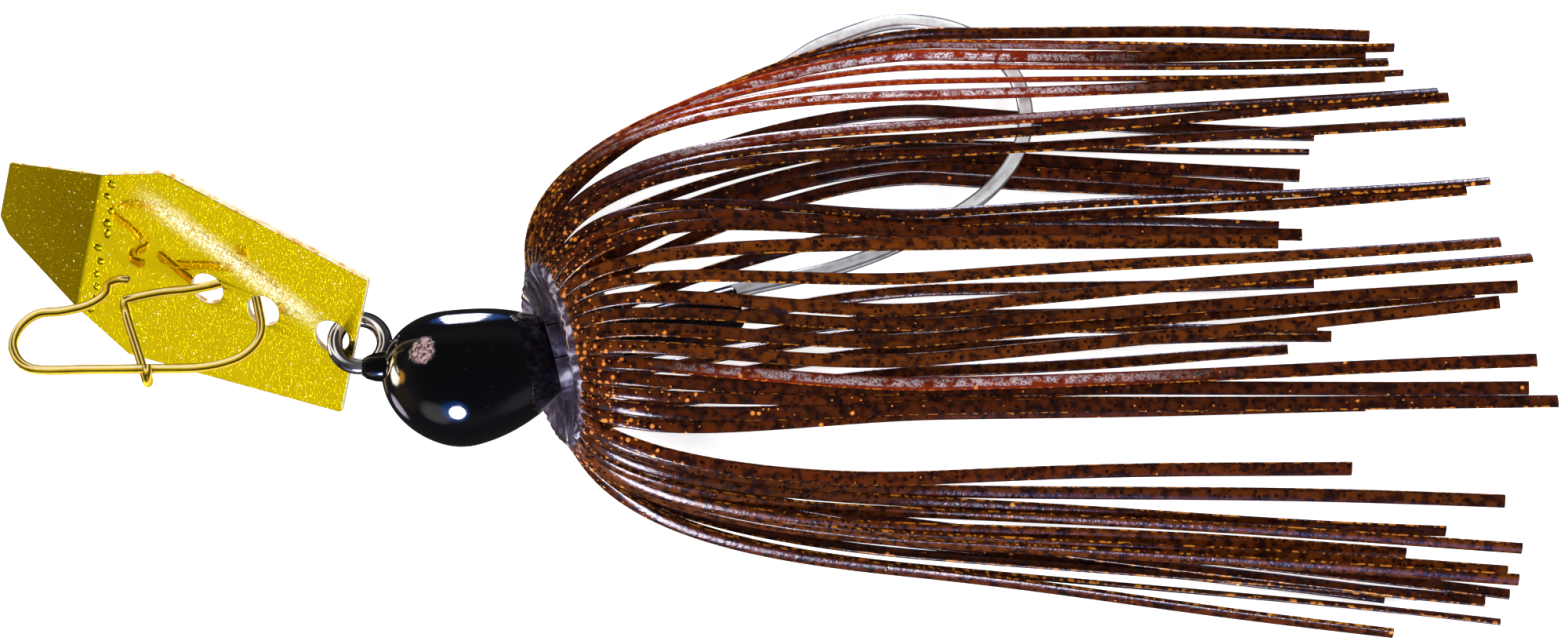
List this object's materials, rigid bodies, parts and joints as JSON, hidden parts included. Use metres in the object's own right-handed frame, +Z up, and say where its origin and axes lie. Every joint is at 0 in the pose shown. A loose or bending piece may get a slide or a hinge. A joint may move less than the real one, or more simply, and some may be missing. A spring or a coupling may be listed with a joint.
{
  "type": "bladed jig fishing lure",
  "caption": "Vibrating-blade bass lure: black lead head on a nickel hook, brown silicone strand skirt, and a gold bent blade that swings on the hook's eye and carries a wire line snap.",
  "frame": {"origin": "on the table, under the middle of the lure's box as it lies on its side", "axes": "+X from the nose towards the skirt's tips, +Y towards the hook's bend, +Z up from the table"},
  "size_m": [0.132, 0.0528, 0.0198],
  "materials": {
    "hook_nickel": "bright black-nickel plated wire",
    "head_black": "thick gloss black paint over cast lead",
    "band_rubber": "matt stretched elastic",
    "blade_gold": "mirror gold plating on stamped steel",
    "snap_gold": "bright gold plated spring wire",
    "skirt_pumpkin": "translucent pumpkin-brown silicone with black flake",
    "skirt_brown": "translucent dark brown silicone with copper flake"
  },
  "bodies": {
    "lure_body": {"hook": "hook_nickel", "head": "head_black", "skirt_band": "band_rubber", "skirt_tab_1": "skirt_pumpkin", "skirt_tab_2": "skirt_brown", "skirt_tab_3": "skirt_pumpkin", "skirt_tab_4": "skirt_brown", "skirt_tab_5": "skirt_pumpkin", "skirt_tab_6": "skirt_brown", "skirt_tab_7": "skirt_pumpkin", "skirt_tab_8": "skirt_brown"},
    "blade_body": {"blade": "blade_gold"},
    "snap_body": {"snap": "snap_gold"}
  },
  "joints": [
    {"name": "blade_swing", "type": "hinge", "parent": "lure_body", "child": "blade_body", "pos_m": [-0.03726, -0.00145, 0.00982], "axis": [0, 0.9472, -0.3206], "range_deg": [-34, 24]},
    {"name": "snap_swing", "type": "hinge", "parent": "blade_body", "child": "snap_body", "pos_m": [-0.0455, 0.0023, 0.00787], "axis": [0.9133, -0.3598, 0.1908], "range_deg": [-48, 12]}
  ]
}
